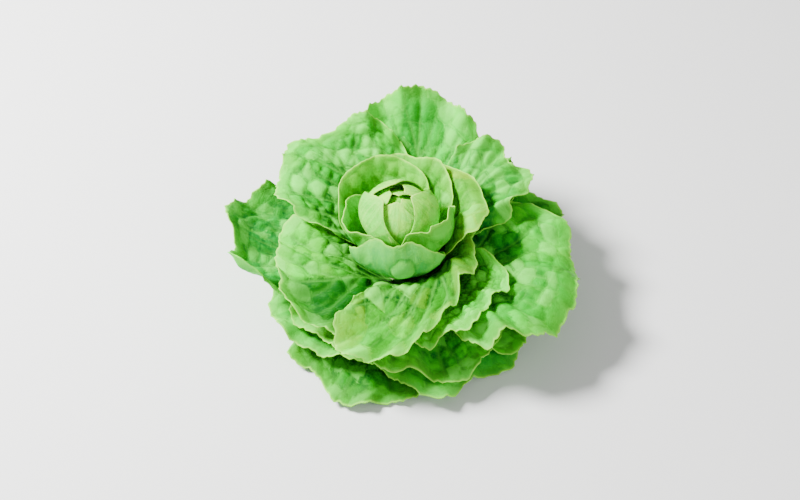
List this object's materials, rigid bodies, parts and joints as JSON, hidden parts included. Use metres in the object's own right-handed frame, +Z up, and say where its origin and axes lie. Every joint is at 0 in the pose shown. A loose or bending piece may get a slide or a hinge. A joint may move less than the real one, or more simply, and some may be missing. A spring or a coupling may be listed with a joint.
{
  "type": "butterhead lettuce",
  "caption": "Soft open head of lettuce with broad wavy outer leaves spread round a closed heart, resting on its cut stem and lowest leaves.",
  "frame": {"origin": "centre of the stem's cut face, on the surface that the head rests on", "axes": "+Z up along the stem; -Y towards the side seen in the picture; +X to the right as seen there"},
  "size_m": [0.3002, 0.2637, 0.1202],
  "materials": {
    "outer_leaf": "satin",
    "inner_leaf": "satin",
    "heart_leaf": "satin",
    "stem": "matte"
  },
  "bodies": {
    "root": {"ground_leaf_back": "outer_leaf", "ground_leaf_back_left": "outer_leaf", "ground_leaf_back_right": "outer_leaf", "ground_leaf_front_left": "outer_leaf", "ground_leaf_front_right": "outer_leaf", "ground_leaf_left": "outer_leaf", "ground_leaf_right": "outer_leaf", "heart": "heart_leaf", "low_leaf_back_left": "outer_leaf", "low_leaf_back_right": "outer_leaf", "low_leaf_front_left": "outer_leaf", "low_leaf_front_right": "outer_leaf", "low_leaf_left": "outer_leaf", "low_leaf_right": "outer_leaf", "open_leaf_back": "outer_leaf", "open_leaf_back_left": "outer_leaf", "open_leaf_back_right": "outer_leaf", "open_leaf_front": "outer_leaf", "open_leaf_front_left": "outer_leaf", "open_leaf_front_right": "outer_leaf", "open_leaf_right": "outer_leaf", "stem": "stem", "wrapper_leaf_back": "inner_leaf", "wrapper_leaf_back_left": "inner_leaf", "wrapper_leaf_front": "inner_leaf", "wrapper_leaf_front_right": "inner_leaf", "wrapper_leaf_left": "inner_leaf", "wrapper_leaf_right": "inner_leaf"}
  },
  "joints": []
}
